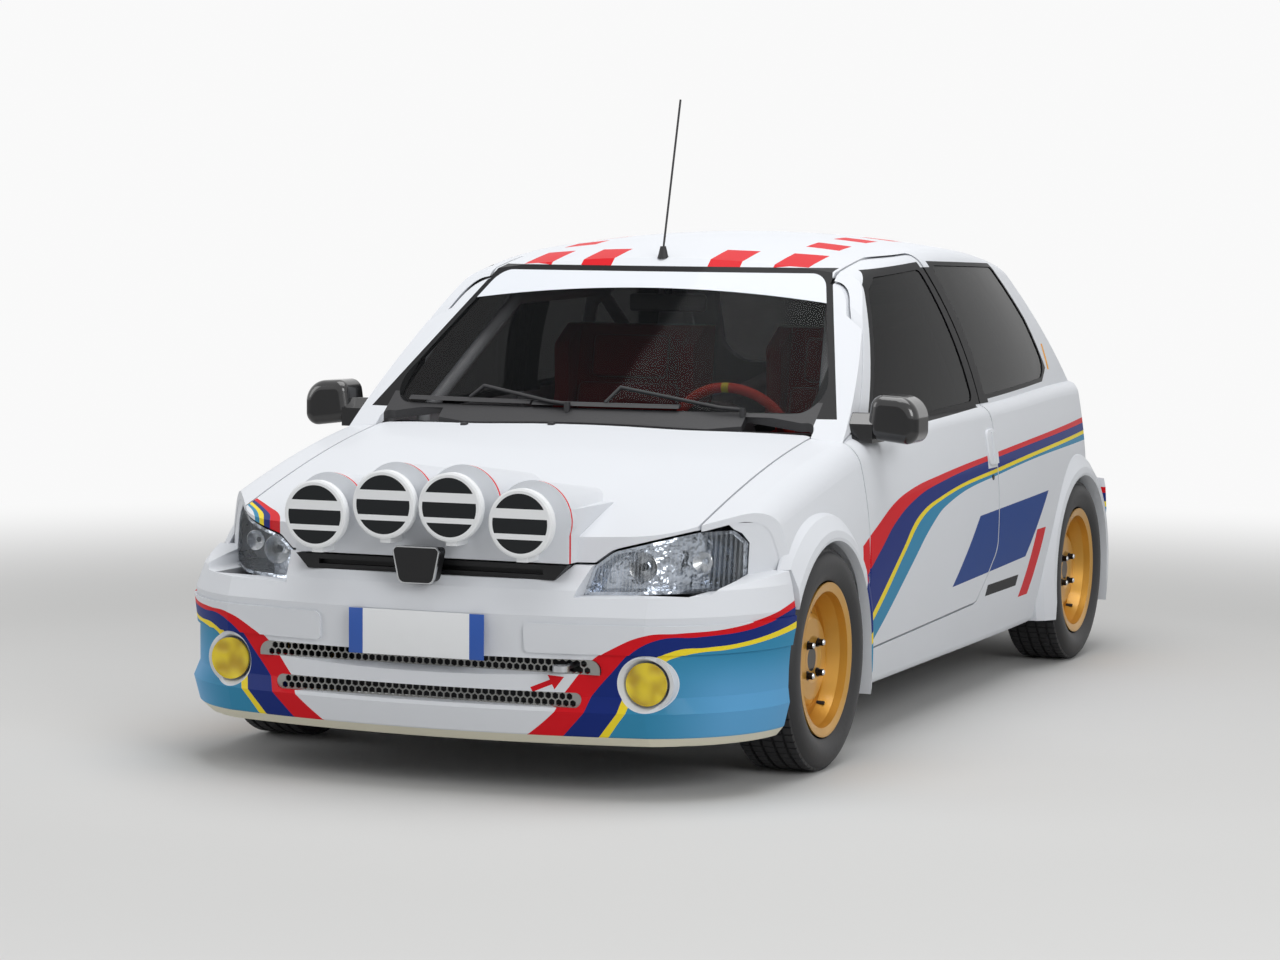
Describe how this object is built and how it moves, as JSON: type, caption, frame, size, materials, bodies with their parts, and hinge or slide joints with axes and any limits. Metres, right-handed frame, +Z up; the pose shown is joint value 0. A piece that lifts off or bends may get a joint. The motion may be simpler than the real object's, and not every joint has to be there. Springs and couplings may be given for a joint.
{
  "type": "rally car",
  "caption": "Small three-door rally car on gold wheels: opening doors, bonnet with lamp pod, tailgate, steered front wheels, roll cage and race seats.",
  "frame": {"origin": "on the floor under the middle of the car's length and width", "axes": "-Y is the front of the car, +X its left side, +Z up"},
  "size_m": [1.79, 3.7, 1.7147],
  "materials": {
    "body_paint": "gloss",
    "bumper_paint": "gloss",
    "black_plastic": "matte",
    "black_gloss": "gloss",
    "dark_metal": "satin",
    "cast_metal": "rough",
    "steel": "satin",
    "gold_alloy": "satin",
    "tyre": "matte",
    "screen_glass": "clear",
    "lamp_glass": "clear",
    "lamp_bowl": "bright",
    "lamp_cover": "gloss",
    "red_lens": "gloss",
    "red_fabric": "matte",
    "cage_paint": "gloss"
  },
  "bodies": {
    "body": {"side_frame_left": "body_paint", "side_frame_right": "body_paint", "floor_pan": "body_paint", "tow_eye": "steel", "roof_panel": "body_paint", "scuttle_panel": "body_paint", "front_wings": "body_paint", "front_bumper": "bumper_paint", "rear_bumper": "bumper_paint", "grilles": "black_plastic", "front_lamp_bowls": "lamp_bowl", "front_lamp_lenses": "lamp_glass", "fixed_glass": "screen_glass", "wipers": "black_plastic", "aerial": "black_plastic", "tail_lamps": "red_lens", "dashboard": "black_plastic", "seats": "red_fabric", "roll_cage": "cage_paint", "cabin_controls": "black_plastic", "engine_block": "cast_metal", "radiator": "cast_metal", "front_subframe": "dark_metal", "rear_axle": "dark_metal", "exhaust": "steel", "fuel_tank": "black_plastic"},
    "bonnet": {"bonnet": "body_paint", "lamp_pod": "bumper_paint", "rally_lamps": "lamp_cover"},
    "tailgate": {"tailgate": "body_paint", "rear_glass": "screen_glass"},
    "steering_wheel": {"steering_wheel": "red_fabric"},
    "door_left": {"door_left": "body_paint", "door_glass_left": "screen_glass", "mirror_left": "black_gloss"},
    "knuckle_left": {"knuckle_left": "cast_metal"},
    "wheel_front_left": {"rim_front_left": "gold_alloy", "tyre_front_left": "tyre"},
    "wheel_rear_left": {"rim_rear_left": "gold_alloy", "tyre_rear_left": "tyre"},
    "door_right": {"door_right": "body_paint", "door_glass_right": "screen_glass", "mirror_right": "black_gloss"},
    "knuckle_right": {"knuckle_right": "cast_metal"},
    "wheel_front_right": {"rim_front_right": "gold_alloy", "tyre_front_right": "tyre"},
    "wheel_rear_right": {"rim_rear_right": "gold_alloy", "tyre_rear_right": "tyre"}
  },
  "joints": [
    {"name": "bonnet_lift", "type": "hinge", "parent": "body", "child": "bonnet", "pos_m": [0, -0.787, 0.806], "axis": [-1, 0, 0], "range_deg": [0, 50]},
    {"name": "tailgate_lift", "type": "hinge", "parent": "body", "child": "tailgate", "pos_m": [0, 1.148, 1.272], "axis": [1, 0, 0], "range_deg": [0, 75]},
    {"name": "door_left_swing", "type": "hinge", "parent": "body", "child": "door_left", "pos_m": [0.783, -0.785, 0.5], "axis": [0, 0, -1], "range_deg": [0, 60]},
    {"name": "door_right_swing", "type": "hinge", "parent": "body", "child": "door_right", "pos_m": [-0.783, -0.785, 0.5], "axis": [0, 0, 1], "range_deg": [0, 60]},
    {"name": "steer_left", "type": "hinge", "parent": "body", "child": "knuckle_left", "pos_m": [0.65, -1.123, 0.28], "axis": [0, 0, 1], "range_deg": [-30, 30]},
    {"name": "steer_right", "type": "hinge", "parent": "body", "child": "knuckle_right", "pos_m": [-0.65, -1.123, 0.28], "axis": [0, 0, 1], "range_deg": [-30, 30]},
    {"name": "steering_wheel_turn", "type": "hinge", "parent": "body", "child": "steering_wheel", "pos_m": [0.29, -0.47, 0.772], "axis": [0, 0.9063, 0.4226], "range_deg": [-490, 490]},
    {"name": "wheel_front_left_spin", "type": "hinge", "parent": "knuckle_left", "child": "wheel_front_left", "pos_m": [0.71, -1.123, 0.28], "axis": [1, 0, 0], "continuous": true},
    {"name": "wheel_rear_left_spin", "type": "hinge", "parent": "body", "child": "wheel_rear_left", "pos_m": [0.71, 1.262, 0.28], "axis": [1, 0, 0], "continuous": true},
    {"name": "wheel_front_right_spin", "type": "hinge", "parent": "knuckle_right", "child": "wheel_front_right", "pos_m": [-0.71, -1.123, 0.28], "axis": [1, 0, 0], "continuous": true},
    {"name": "wheel_rear_right_spin", "type": "hinge", "parent": "body", "child": "wheel_rear_right", "pos_m": [-0.71, 1.262, 0.28], "axis": [1, 0, 0], "continuous": true}
  ],
  "couplings": [
    {"joint": "steer_right", "follows": "steer_left", "ratio": 1},
    {"joint": "steering_wheel_turn", "follows": "steer_left", "ratio": 16}
  ]
}
